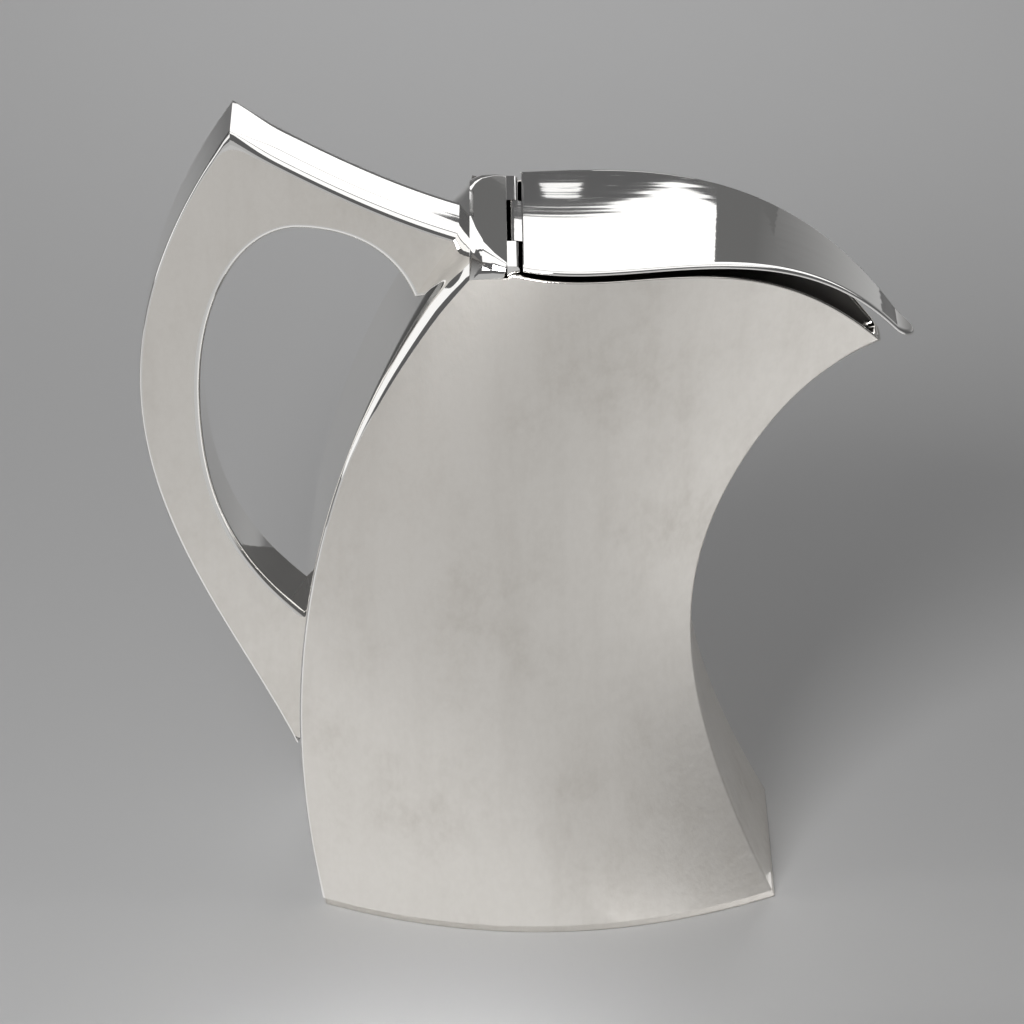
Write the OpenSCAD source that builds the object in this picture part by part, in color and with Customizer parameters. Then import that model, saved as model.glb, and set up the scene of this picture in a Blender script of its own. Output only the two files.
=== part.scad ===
// Hinged-lid pitcher raised from sheet: two bowed side panels, a curved rear panel, a concave
// front panel that narrows into the spout, a base plate, a fixed deck with a three-knuckle hinge,
// a hollow box-section handle and a curved lid.
// +X is the spout, +Z is up, and the origin is the centre of the resting face.
// Edge curves are Bezier control points, in millimetres. Panel edges give [x, half-width, z].

/* [Body] */
// Wall thickness of the panels
wall_t = 1.4; // [1:0.1:2]
// Length of the base from rear to front
base_l = 134; // [130:1:138]
// Width of the base across its widest place
base_w = 101; // [96:1:106]
// Width of the rear panel at the floor
rear_w = 68; // [64:1:72]
// Width of the front panel at the floor
front_w = 62; // [58:1:66]
// Width of the spout at its tip
spout_w = 9.4; // [8:0.2:12]

/* [Hinge] */
// Distance of the hinge pin behind the origin
hinge_back = 10.4; // [10:0.1:11]
// Height of the hinge pin
hinge_z = 205.9; // [205.5:0.1:206.2]
// Outer diameter of the knuckles
knuckle_d = 3.6; // [3.2:0.1:3.8]
// Diameter of the hinge pin
pin_d = 1.6; // [1.2:0.1:1.8]
// Length of the lid's knuckle
centre_knuckle_l = 27; // [20:1:34]
// Length of the whole hinge
hinge_l = 61; // [58:0.5:61]
// End gap on each side of the lid's knuckle
knuckle_gap = 0.4; // [0.2:0.1:0.8]

/* [Lid] */
// Height of the lid's edge wire
lid_edge_t = 1.5; // [1.3:0.1:1.8]
// Thickness of the lid's sheet inside the edge wire
lid_sheet_t = 1; // [0.8:0.1:1.2]
// Width of the edge wire seen from above
lid_wire_w = 1.6; // [1.2:0.1:2.5]
// Half-width of the lid at the hinge
lid_half_w = 33; // [31:0.5:33]

/* [Handle] */
// Thickness of the handle from cheek to cheek
handle_w = 24.4; // [22:0.2:27]
// Sheet thickness of the handle's four walls
handle_t = 1.3; // [1:0.1:1.6]

/* [Resolution] */
// Steps along a panel, rear to front
steps_u = 22; // [12:2:28]
// Steps up a panel
steps_v = 24; // [12:2:30]
// Points along each outline curve
steps_c = 24; // [10:2:24]

/* [Hidden] */
$fn = 48;

satin_silver = "#c3c0ba";
polished_silver = "#d8d9da";

// Edges of the right-hand side panel as [x, half-width, z]
rear_edge = [[-base_l / 2, rear_w / 2, 0], [-79, 32, 57], [-78, 29.5, 134.5], [-25.5, 26.5, 209.5]];
front_edge = [[base_l / 2, front_w / 2, 0], [15.5, 14, 103.5], [52, 15, 113.5], [54.5, 8, 157],
              [95, spout_w / 2, 170.5]];
floor_edge = [rear_edge[0], [0, base_w - (rear_w + front_w) / 4, 0], front_edge[0]];
rim_edge = [rear_edge[3], [12.5, 45, 193], [48, 32.5, 225.5], front_edge[4]];

// Clearance between a knuckle and the plate of the other side of the hinge
plate_gap = 0.4;
// Clearance between the pin and the inner end of a leaf
leaf_gap = 0.2;
// How far the lid knuckle's leaf runs on under the sheet
leaf_run = 6;

// Side outlines of the deck, the lid and the handle as [x, z]
deck_front_x = -hinge_back - knuckle_d / 2 - plate_gap;
deck_top = [[-23.2, 212.9], [-19.6, 210.9], [-16.1, 209.2],
            [deck_front_x, hinge_z + knuckle_d / 2]];
lid_rear_x = -hinge_back + knuckle_d / 2 + plate_gap;
lid_under_bow = [[lid_rear_x, 206.4], [23, 203.5], [65, 216.5], [97.5, 176]];
lid_under_tip = [[97.5, 176], [99.5, 173.6], [102, 172.2], [104.5, 171.5]];
handle_outer_curve = [[-75.5, 43], [-98.5, 96.5], [-149.5, 152.5], [-90, 240]];
handle_top_curve = [[-90, 240], [-69, 227.5], [-48.5, 215], [-27.6, 206.6]];
handle_inner_curves = [[[-39.3, 189], [-44.5, 202.5], [-56, 209.5], [-71, 210]],
                       [[-71, 210], [-87.5, 210.5], [-100, 188.5], [-100.5, 159]],
                       [[-100.5, 159], [-101, 121.5], [-90, 103], [-71.6, 86]]];

// Plan outline of the lid as [x, half-width], side and nose
lid_plan_side = [[lid_rear_x, lid_half_w], [9, 37], [34.5, 38.5], [99.5, 6.5]];
lid_plan_nose = [[99.5, 6.5], [102.6, 5], [104.5, 2.6], [104.5, 0]];

wall_u = wall_t / base_l;
wall_v = wall_t / 200;
us = concat([0], [for (i = [0 : steps_u]) wall_u + (1 - 2 * wall_u) * i / steps_u], [1]);
vs = concat([0], [for (j = [0 : steps_v]) wall_v + (1 - wall_v) * j / steps_v]);
last_u = len(us) - 1;
last_v = len(vs) - 1;

// ---- curves ----

function lerp(a, b, t) = a + (b - a) * t;
function bezier(p, t) = len(p) == 1 ? p[0]
    : bezier([for (i = [0 : len(p) - 2]) lerp(p[i], p[i + 1], t)], t);
function curve(p, n = steps_c) = [for (i = [0 : n]) bezier(p, i / n)];
function tail(p) = [for (i = [1 : len(p) - 1]) p[i]];
function reversed(p) = [for (i = [len(p) - 1 : -1 : 0]) p[i]];
function unit(v) = v / norm(v);
function left_normal(v) = [-v[1], v[0]];

// Unit tangent of a polyline at point i
function tangent(p, i) = unit(p[min(i + 1, len(p) - 1)] - p[max(i - 1, 0)]);

// The polyline moved d to its left, or to its right where d is negative
function moved_line(p, d) = [for (i = [0 : len(p) - 1]) p[i] + d * left_normal(tangent(p, i))];

// ---- body skin ----

// Point of the side panel's outer face as [x, half-width, z], blended between its four edges
function skin(u, v) =
    lerp(bezier(floor_edge, u), bezier(rim_edge, u), v)
    + lerp(bezier(rear_edge, v), bezier(front_edge, v), u)
    - lerp(lerp(floor_edge[0], floor_edge[2], u), lerp(rim_edge[0], rim_edge[3], u), v);

// Point of the grid, on the side y < 0 where side is -1, the given depth inside the outer face
function skin_at(i, j, side, depth) = let (s = skin(us[i], vs[j])) [s[0], side * (s[1] - depth), s[2]];

// Closed solid of a block of the grid between two sheets of points, each given by a row-major list
module block(sheet_a, sheet_b, rows, cols) {
    n = rows * cols;
    at = function (s, r, c) s * n + r * cols + c;
    quads = concat(
        [for (r = [0 : rows - 2], c = [0 : cols - 2])
            [at(0, r, c), at(0, r + 1, c), at(0, r + 1, c + 1), at(0, r, c + 1)]],
        [for (r = [0 : rows - 2], c = [0 : cols - 2])
            [at(1, r, c), at(1, r, c + 1), at(1, r + 1, c + 1), at(1, r + 1, c)]],
        [for (r = [0 : rows - 2]) [at(0, r, 0), at(1, r, 0), at(1, r + 1, 0), at(0, r + 1, 0)]],
        [for (r = [0 : rows - 2])
            [at(0, r, cols - 1), at(0, r + 1, cols - 1), at(1, r + 1, cols - 1), at(1, r, cols - 1)]],
        [for (c = [0 : cols - 2]) [at(0, 0, c), at(0, 0, c + 1), at(1, 0, c + 1), at(1, 0, c)]],
        [for (c = [0 : cols - 2])
            [at(0, rows - 1, c), at(1, rows - 1, c), at(1, rows - 1, c + 1), at(0, rows - 1, c + 1)]]);
    faces = [for (q = quads, half = [0, 1]) half == 0 ? [q[0], q[1], q[2]] : [q[0], q[2], q[3]]];
    polyhedron(points = concat(sheet_a, sheet_b), faces = faces);
}

// Sheet of grid points on one side over rows j0..j1 and columns i0..i1
function sheet(i0, i1, j0, j1, side, depth) =
    [for (j = [j0 : j1], i = [i0 : i1]) skin_at(i, j, side, depth)];

// Bowed side panel, a wall_t thick
module side_panel(side) {
    color(satin_silver)
    if (side < 0)
        block(sheet(0, last_u, 0, last_v, side, 0), sheet(0, last_u, 0, last_v, side, wall_t),
              last_v + 1, last_u + 1);
    else
        block(sheet(0, last_u, 0, last_v, side, wall_t), sheet(0, last_u, 0, last_v, side, 0),
              last_v + 1, last_u + 1);
}

// Wall that spans from one side panel to the other over a block of the grid
module spanning_wall(i0, i1, j0, j1) {
    block(sheet(i0, i1, j0, j1, -1, wall_t), sheet(i0, i1, j0, j1, 1, wall_t),
          j1 - j0 + 1, i1 - i0 + 1);
}

module side_panel_right() side_panel(-1);
module side_panel_left() side_panel(1);

module rear_panel() {
    color(polished_silver)
    spanning_wall(0, 1, 0, last_v);
}

module front_panel() {
    color(satin_silver)
    spanning_wall(last_u - 1, last_u, 0, last_v);
}

module base_plate() {
    color(satin_silver)
    spanning_wall(1, last_u - 1, 0, 1);
}

// ---- deck and hinge ----

// Solid of a side outline [x, z], w wide and centred across the body
module across(outline, w) {
    translate([0, w / 2, 0]) rotate([90, 0, 0]) linear_extrude(w) polygon(outline);
}

// Rearmost fifth of the rim, which carries the deck
deck_rim = [for (u = [0 : 0.0125 : 0.2]) bezier(rim_edge, u)];

// Height of the deck's part of the rim at a place along X, as [x, z]
function rim_point(x) = [x, lookup(x, [for (p = deck_rim) [p[0], p[2]]])];

// Upright blank of a plan outline [x, y], tall enough to cut the deck and the lid
module blank(plan) {
    translate([0, 0, 150]) linear_extrude(100) polygon(plan);
}

// Fixed plate between the rear panel and the hinge, as wide as the rim under it
module rear_deck() {
    under = [for (p = deck_rim) if (p[0] < deck_front_x - 0.1) [p[0], p[2]]];
    left = [for (p = deck_rim) [p[0], p[1]]];
    right = [for (p = deck_rim) [p[0], -p[1]]];
    color(polished_silver)
    intersection() {
        across(concat(curve(deck_top), [rim_point(deck_front_x)], reversed(under)), 2 * rear_w);
        blank(concat(right, reversed(left)));
    }
}

// Knuckle about the hinge line with a leaf of the given outline, l long from y0
module knuckle(y0, l, leaf, bore_d) {
    color(polished_silver)
    difference() {
        union() {
            translate([-hinge_back, y0 + l, hinge_z]) rotate([90, 0, 0])
                cylinder(h = l, d = knuckle_d);
            translate([0, y0 + l, 0]) rotate([90, 0, 0]) linear_extrude(l) polygon(leaf);
        }
        translate([-hinge_back, y0 + l + 1, hinge_z]) rotate([90, 0, 0])
            cylinder(h = l + 2, d = bore_d);
    }
}

// Leaf of a fixed knuckle: it fills up to the deck's front edge
fixed_leaf_z = hinge_z - knuckle_d / 2 + 0.5;
fixed_leaf = [[-hinge_back - pin_d / 2 - leaf_gap, fixed_leaf_z], [deck_front_x, fixed_leaf_z],
              [deck_front_x, hinge_z + knuckle_d / 2], [-hinge_back, hinge_z + knuckle_d / 2]];
// Leaf of the lid's knuckle: it fills up to the lid's rear edge and runs on under the sheet
lid_leaf = [[-hinge_back + pin_d / 2 + leaf_gap, hinge_z - 0.6], [lid_rear_x + leaf_run, 205.5],
            [lid_rear_x + leaf_run, 206.2], lid_under_bow[0],
            [lid_rear_x, hinge_z + knuckle_d / 2], [-hinge_back, hinge_z + knuckle_d / 2]];
outer_knuckle_l = (hinge_l - centre_knuckle_l) / 2 - knuckle_gap;

module hinge_knuckle_right() knuckle(-hinge_l / 2, outer_knuckle_l, fixed_leaf, pin_d);
module hinge_knuckle_left() knuckle(hinge_l / 2 - outer_knuckle_l, outer_knuckle_l, fixed_leaf, pin_d);

module hinge_pin() {
    color(polished_silver)
    translate([-hinge_back, hinge_l / 2, hinge_z]) rotate([90, 0, 0])
        cylinder(h = hinge_l, d = pin_d);
}

// ---- handle ----

rear_line = [for (v = vs) let (p = bezier(rear_edge, v)) [p[0], p[2]]];
top_curve = curve(handle_top_curve);
outer_curve = curve(handle_outer_curve);
inner_curve = concat(curve(handle_inner_curves[0]), tail(curve(handle_inner_curves[1])),
                     tail(curve(handle_inner_curves[2])));

// Points of the rear panel's outer face between two heights, rising
function rear_between(z0, z1) = [for (p = rear_line) if (p[1] > z0 + 0.5 && p[1] < z1 - 0.5) p];

module handle_cheek(y0) {
    upper_root = rear_between(inner_curve[0][1], handle_top_curve[3][1]);
    lower_root = rear_between(handle_outer_curve[0][1], handle_inner_curves[2][3][1]);
    outline = concat(outer_curve, tail(top_curve), reversed(upper_root), inner_curve,
                     reversed(lower_root));
    color(satin_silver)
    translate([0, y0 + handle_t, 0]) rotate([90, 0, 0]) linear_extrude(handle_t) polygon(outline);
}

module handle_cheek_right() handle_cheek(-handle_w / 2);
module handle_cheek_left() handle_cheek(handle_w / 2 - handle_t);

// Strap between the cheeks, from one side outline
module handle_strap(outline) {
    color(polished_silver)
    across(outline, handle_w - 2 * handle_t);
}

// The outer and the top strap meet in a mitre at the peak
peak_mitre = [0.7, -2];
peak_inner = handle_top_curve[0] + peak_mitre;

module handle_outer_strap() {
    inside = moved_line(outer_curve, -handle_t);
    n = len(inside);
    handle_strap(concat(outer_curve, [peak_inner], reversed([for (i = [1 : n - 2]) inside[i]])));
}

module handle_top_strap() {
    inside = moved_line(top_curve, -handle_t);
    n = len(inside);
    handle_strap(concat(top_curve, reversed([for (i = [1 : n - 2]) inside[i]]), [peak_inner]));
}

module handle_inner_strap() {
    inside = moved_line(inner_curve, -handle_t);
    n = len(inside);
    handle_strap(concat(inner_curve, reversed([for (i = [1 : n - 2]) inside[i]])));
}

// ---- lid ----

lid_under = concat(curve(lid_under_bow), tail(curve(lid_under_tip, 6)));
lid_top = moved_line(lid_under, lid_edge_t);
lid_side = concat(curve(lid_plan_side), tail(curve(lid_plan_nose, 8)));

// Closed plan of the lid, moved in from its edge
function lid_plan(inset) =
    let (side = moved_line(lid_side, -inset))
    concat(side, tail(reversed([for (p = side) [p[0], -p[1]]])));

// The lid's bent sheet, t thick under its top face
module lid_sheet(t) {
    across(concat(lid_top, reversed(moved_line(lid_top, -t))), 100);
}

module lid_plate() {
    color(polished_silver)
    intersection() {
        lid_sheet(lid_sheet_t);
        blank(lid_plan(lid_wire_w));
    }
}

module lid_edge_wire() {
    color(polished_silver)
    difference() {
        intersection() {
            lid_sheet(lid_edge_t);
            blank(lid_plan(0));
        }
        blank(lid_plan(lid_wire_w));
    }
}

module lid_knuckle() knuckle(-centre_knuckle_l / 2, centre_knuckle_l, lid_leaf, pin_d + 0.1);

side_panel_right();
side_panel_left();
rear_panel();
front_panel();
base_plate();
rear_deck();
hinge_knuckle_right();
hinge_knuckle_left();
hinge_pin();
handle_cheek_right();
handle_cheek_left();
handle_outer_strap();
handle_top_strap();
handle_inner_strap();
lid_plate();
lid_edge_wire();
lid_knuckle();
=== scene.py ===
"""Looks of a hinged-lid silver pitcher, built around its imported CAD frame.

The body, handle and lid are rebuilt from the same edge curves as the CAD part, with the rounded
edges that hand-raised silver has. +X is the spout, +Z is up and +Y is the far side. Shapes are
worked out in millimetres and written to meshes in metres.
"""

import enum
import logging
import math
from dataclasses import dataclass
from typing import Any, Callable, Optional

import bmesh
import bpy
import numpy as np
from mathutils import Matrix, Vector


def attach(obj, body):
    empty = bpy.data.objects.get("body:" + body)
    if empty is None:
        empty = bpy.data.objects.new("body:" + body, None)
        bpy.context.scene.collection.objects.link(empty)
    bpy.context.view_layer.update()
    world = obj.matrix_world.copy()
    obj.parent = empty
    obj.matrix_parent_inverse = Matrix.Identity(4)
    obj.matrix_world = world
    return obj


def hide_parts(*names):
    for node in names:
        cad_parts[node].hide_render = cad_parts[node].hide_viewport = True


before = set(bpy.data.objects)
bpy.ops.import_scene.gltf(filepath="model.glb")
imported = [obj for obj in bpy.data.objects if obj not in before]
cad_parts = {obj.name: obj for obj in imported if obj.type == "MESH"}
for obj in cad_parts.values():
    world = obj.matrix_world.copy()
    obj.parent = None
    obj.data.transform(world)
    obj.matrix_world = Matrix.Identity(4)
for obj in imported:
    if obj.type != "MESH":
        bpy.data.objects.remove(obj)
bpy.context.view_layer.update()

LOG = logging.getLogger("pitcher")
MM = 0.001
WELD_M = 1e-7
SHARP_DEG = 40.0
GUARD_SHARE = 1.5
MIRROR_Y = np.array([1, -1, 1])
U_STEP = 0.004
DECK_U = np.linspace(0, 0.25, 200)
Array = np.ndarray
Triple = tuple[float, float, float]
Colour = tuple[float, float, float, float]


# ---- names ----


class Body(enum.Enum):
    """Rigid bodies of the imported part."""

    PITCHER = "pitcher"
    LID = "lid"


class Side(enum.IntEnum):
    """Which way along Y a paired piece stands."""

    RIGHT = -1
    LEFT = 1


class Border(enum.Enum):
    """Edge of a grid of points."""

    FIRST_ROW = "first row"
    LAST_ROW = "last row"


# ---- curves and grids ----


def bezier(points: Any, t: Any) -> Array:
    """Points of a Bezier curve of any degree.

    Args:
        points: Control points, one row each.
        t: Places along the curve, 0 to 1.

    Returns:
        One point for each place, on the last axis.
    """
    places = np.asarray(t, float)[..., None]
    level = [np.broadcast_to(np.asarray(p, float), places.shape[:-1] + (len(p),)) for p in points]
    while len(level) > 1:
        level = [a + (b - a) * places for a, b in zip(level, level[1:])]
    return np.array(level[0])


def unit(v: Array) -> Array:
    """Vectors of length 1 along the last axis."""
    return v / np.maximum(np.linalg.norm(v, axis=-1, keepdims=True), 1e-12)


def moved(points: Array, **shift: Any) -> Array:
    """Copy of the points with x, y or z shifted."""
    made = np.array(points, float)
    for axis, amount in shift.items():
        made[..., "xyz".index(axis)] += amount
    return made


def smooth_step(t: Any) -> Array:
    """Ease from 0 to 1 with level ends."""
    s = np.clip(t, 0.0, 1.0)
    return s * s * (3 - 2 * s)


def fillet(start: Array, corner: Array, end: Array, steps: int) -> Array:
    """Round a corner with an arc that is tangent to both legs.

    Args:
        start: Points where the arcs begin, one row each.
        corner: The sharp corner of each row.
        end: Points where the arcs end.
        steps: Faces along each arc.

    Returns:
        Grid of rows by steps + 1 points.
    """
    cosine = np.sum(unit(corner - start) * unit(end - corner), axis=-1)
    weight = np.sqrt(np.clip((1 + cosine) / 2, 0.05, 1.0))[:, None, None]
    t = np.linspace(0.0, 1.0, steps + 1)[None, :, None]
    share = [(1 - t) ** 2, 2 * t * (1 - t) * weight, t**2]
    total = share[0] + share[1] + share[2]
    legs = [start[:, None, :], corner[:, None, :], end[:, None, :]]
    return sum(s * leg for s, leg in zip(share, legs)) / total


def tangents(line: Array) -> Array:
    """Unit tangents of a polyline."""
    return unit(np.gradient(line, axis=0))


def right_normals(line: Array) -> Array:
    """Unit normals to the right of a flat polyline of 2-D points."""
    t = tangents(line)
    return np.stack([t[:, 1], -t[:, 0]], axis=1)


def spaced(start: float, stop: float, count: int, crowd: float = 0.0) -> Array:
    """Numbers from start to stop, crowded towards both ends.

    Args:
        start: First number.
        stop: Last number.
        count: How many steps lie between them.
        crowd: 0 for even steps, up to 1 for steps that shrink at the ends.

    Returns:
        The numbers.
    """
    t = np.linspace(0.0, 1.0, count + 1)
    eased = (1 - np.cos(math.pi * t)) / 2
    return start + (stop - start) * ((1 - crowd) * t + crowd * eased)


# ---- meshes ----


@dataclass
class Grid:
    """Sheet of points in rows and columns, with how polished each point is."""

    points: Array
    polish: Optional[Array] = None

    def __post_init__(self) -> None:
        """Start with no polish."""
        if self.polish is None:
            self.polish = np.zeros(self.points.shape[:2])


def clean(mesh: bpy.types.Mesh, sharp_deg: float = SHARP_DEG) -> None:
    """Weld a mesh, turn its faces outwards and shade it.

    Args:
        mesh: The mesh, which is changed.
        sharp_deg: Edges that turn more than this stay sharp.
    """
    shape = bmesh.new()
    shape.from_mesh(mesh)
    bmesh.ops.remove_doubles(shape, verts=shape.verts, dist=WELD_M)
    bmesh.ops.dissolve_degenerate(shape, edges=shape.edges, dist=WELD_M / 10)
    bmesh.ops.recalc_face_normals(shape, faces=shape.faces)
    shape.to_mesh(mesh)
    shape.free()
    mesh.shade_smooth()
    mesh.set_sharp_from_angle(angle=math.radians(sharp_deg))


def linked(name: str, data: Any) -> bpy.types.Object:
    """New object with the given data, linked to the scene."""
    made = bpy.data.objects.new(name, data)
    bpy.context.scene.collection.objects.link(made)
    return made


def link_mesh(name: str, points: Array, faces: list[tuple[int, ...]], polish: Array,
              inside: Array) -> bpy.types.Object:
    """Make a closed, smooth-shaded object with outward faces.

    Args:
        name: Piece name.
        points: Corners in millimetres, one row each.
        faces: Corner numbers of each face.
        polish: Value of the "polish" attribute at each corner.
        inside: Value of the "inside" attribute at each corner.

    Returns:
        The new object, linked to the scene.
    """
    mesh = bpy.data.meshes.new(name)
    mesh.from_pydata((points * MM).tolist(), [], faces)
    for key, values in (("polish", polish), ("inside", inside)):
        layer = mesh.attributes.new(key, "FLOAT", "POINT")
        layer.data.foreach_set("value", values.astype(np.float32))
    clean(mesh)
    return linked(name, mesh)


def shell(name: str, outer: Grid, inner: Grid) -> bpy.types.Object:
    """Sheet-metal wall between two grids, closed round its border.

    Args:
        name: Piece name.
        outer: Face that shows.
        inner: Face behind it, with as many rows and columns.

    Returns:
        The new object.
    """
    rows, cols = outer.points.shape[:2]
    half = rows * cols
    number = np.arange(half).reshape(rows, cols)
    quads = np.stack([number[:-1, :-1], number[:-1, 1:], number[1:, 1:], number[1:, :-1]], axis=-1)
    quads = quads.reshape(-1, 4)
    rim = np.concatenate([number[0, :-1], number[:-1, -1], number[-1, :0:-1], number[:0:-1, 0]])
    after = np.roll(rim, -1)
    strip = np.stack([rim, rim + half, after + half, after], axis=-1)
    faces = np.concatenate([quads, quads[:, ::-1] + half, strip])
    points = np.concatenate([outer.points.reshape(-1, 3), inner.points.reshape(-1, 3)])
    polish = np.concatenate([outer.polish.ravel(), inner.polish.ravel()])
    inside = np.repeat([0.0, 1.0], half) * (1 - polish)
    return link_mesh(name, points, [tuple(f) for f in faces.tolist()], polish, inside)


def round_border(outer: Grid, inner: Grid, border: Border, radius: Any, steps: int = 5,
                 polish: float = 0.0) -> tuple[Grid, Grid]:
    """Round both corners of a wall along one border.

    Args:
        outer: Face that shows.
        inner: Face behind it.
        border: Which border is rounded.
        radius: Radius in millimetres, one number or one for each point of the border.
        steps: Faces along each arc.
        polish: Value of the "polish" attribute on the rounding.

    Returns:
        The two grids, each with the rows of its arc.
    """
    turn = -1 if border is Border.LAST_ROW else 1
    made = []
    for near, far in ((outer, inner), (inner, outer)):
        points, other, tone = (a[::turn] for a in (near.points, far.points, near.polish))
        first = points[0]
        size = np.broadcast_to(np.asarray(radius, float), len(first))[:, None]
        along, through = unit(points[1] - first), unit(other[0] - first)
        arc = fillet(first + through * size, first, first + along * size, steps).swapaxes(0, 1)
        guard = (first + along * size * GUARD_SHARE)[None]
        tint = np.full((steps + 1, len(first)), polish)
        points = np.concatenate([arc, guard, points[1:]])
        tone = np.concatenate([tint, tone])
        made.append(Grid(points[::turn], tone[::turn]))
    return made[0], made[1]


def tube(name: str, loops: Array) -> bpy.types.Object:
    """Solid bar from closed loops of points, capped at both ends.

    Args:
        name: Piece name.
        loops: Sections by points by 3, in millimetres.

    Returns:
        The new object.
    """
    count, size = loops.shape[:2]
    number = np.arange(count * size).reshape(count, size)
    after = np.roll(number, -1, axis=1)
    sides = np.stack([number[:-1], after[:-1], after[1:], number[1:]], axis=-1).reshape(-1, 4)
    faces = [tuple(f) for f in sides.tolist()]
    faces += [tuple(number[0].tolist()), tuple(number[-1, ::-1].tolist())]
    plain = np.zeros(count * size)
    return link_mesh(name, loops.reshape(-1, 3), faces, plain, plain)


# ---- node trees ----


@dataclass(frozen=True)
class Term:
    """Output socket that can be used in arithmetic, which adds Math nodes to its tree."""

    nodes: "Nodes"
    socket: bpy.types.NodeSocket

    def _math(self, operation: str, first: Any, second: Any) -> "Term":
        """Result of one Math node."""
        return self.nodes.add("ShaderNodeMath", {"operation": operation}, {0: first, 1: second})

    def __add__(self, other: Any) -> "Term":
        """Sum."""
        return self._math("ADD", self, other)

    def __radd__(self, other: Any) -> "Term":
        """Sum with a number in front."""
        return self._math("ADD", other, self)

    def __sub__(self, other: Any) -> "Term":
        """Difference."""
        return self._math("SUBTRACT", self, other)

    def __rsub__(self, other: Any) -> "Term":
        """Difference with a number in front."""
        return self._math("SUBTRACT", other, self)

    def __mul__(self, other: Any) -> "Term":
        """Product."""
        return self._math("MULTIPLY", self, other)

    def __rmul__(self, other: Any) -> "Term":
        """Product with a number in front."""
        return self._math("MULTIPLY", other, self)


class Nodes:
    """Node tree that is filled by one method."""

    def __init__(self, tree: bpy.types.NodeTree) -> None:
        """Empty the tree."""
        self.tree = tree
        tree.nodes.clear()

    def add(self, kind: str, settings: Optional[dict[str, Any]] = None,
            inputs: Optional[dict[Any, Any]] = None, output: Any = 0) -> Term:
        """Add a node.

        Args:
            kind: Node type.
            settings: Properties, set before the sockets.
            inputs: Values, or Terms to link, by socket number or name.
            output: Number or name of the output that is returned.

        Returns:
            That output, ready for arithmetic.
        """
        node = self.tree.nodes.new(kind)
        for name, value in (settings or {}).items():
            setattr(node, name, value)
        for key, value in (inputs or {}).items():
            if isinstance(value, Term):
                self.tree.links.new(value.socket, node.inputs[key])
            else:
                node.inputs[key].default_value = value
        return Term(self, node.outputs[output] if len(node.outputs) else None)

    def noise(self, at: Term, stretch: Triple, detail: float, rough: float) -> Term:
        """Noise value with its own scale along each axis, per metre."""
        placed = self.add("ShaderNodeMapping", None, {"Vector": at, "Scale": stretch})
        return self.add("ShaderNodeTexNoise", {"noise_dimensions": "3D"},
                        {"Vector": placed, "Scale": 1.0, "Detail": detail, "Roughness": rough})

    def ranged(self, value: Term, low: float, high: float) -> Term:
        """Map a range of values onto 0 to 1, smoothly and clamped."""
        return self.add("ShaderNodeMapRange", {"interpolation_type": "SMOOTHSTEP"},
                        {"Value": value, "From Min": low, "From Max": high})

    def mixed(self, factor: Term, first: Any, second: Any) -> Term:
        """Blend two colours."""
        return self.add("ShaderNodeMix", {"data_type": "RGBA"},
                        {0: factor, 6: first, 7: second}, output=2)

    def attribute(self, name: str) -> Term:
        """Value of a mesh attribute."""
        return self.add("ShaderNodeAttribute", {"attribute_name": name}, output="Fac")


def new_material(name: str, surface: Callable[[Nodes], dict[str, Any]]) -> bpy.types.Material:
    """Make a material from one Principled surface.

    Args:
        name: Material name.
        surface: Adds the nodes it needs, and gives the surface's inputs.

    Returns:
        The material.
    """
    material = bpy.data.materials.new(name)
    material.use_nodes = True
    n = Nodes(material.node_tree)
    made = n.add("ShaderNodeBsdfPrincipled", None, surface(n))
    n.add("ShaderNodeOutputMaterial", None, {"Surface": made})
    return material


# ---- finishes ----

DARK_INSIDE: Colour = (0.10, 0.094, 0.088, 1.0)


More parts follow.
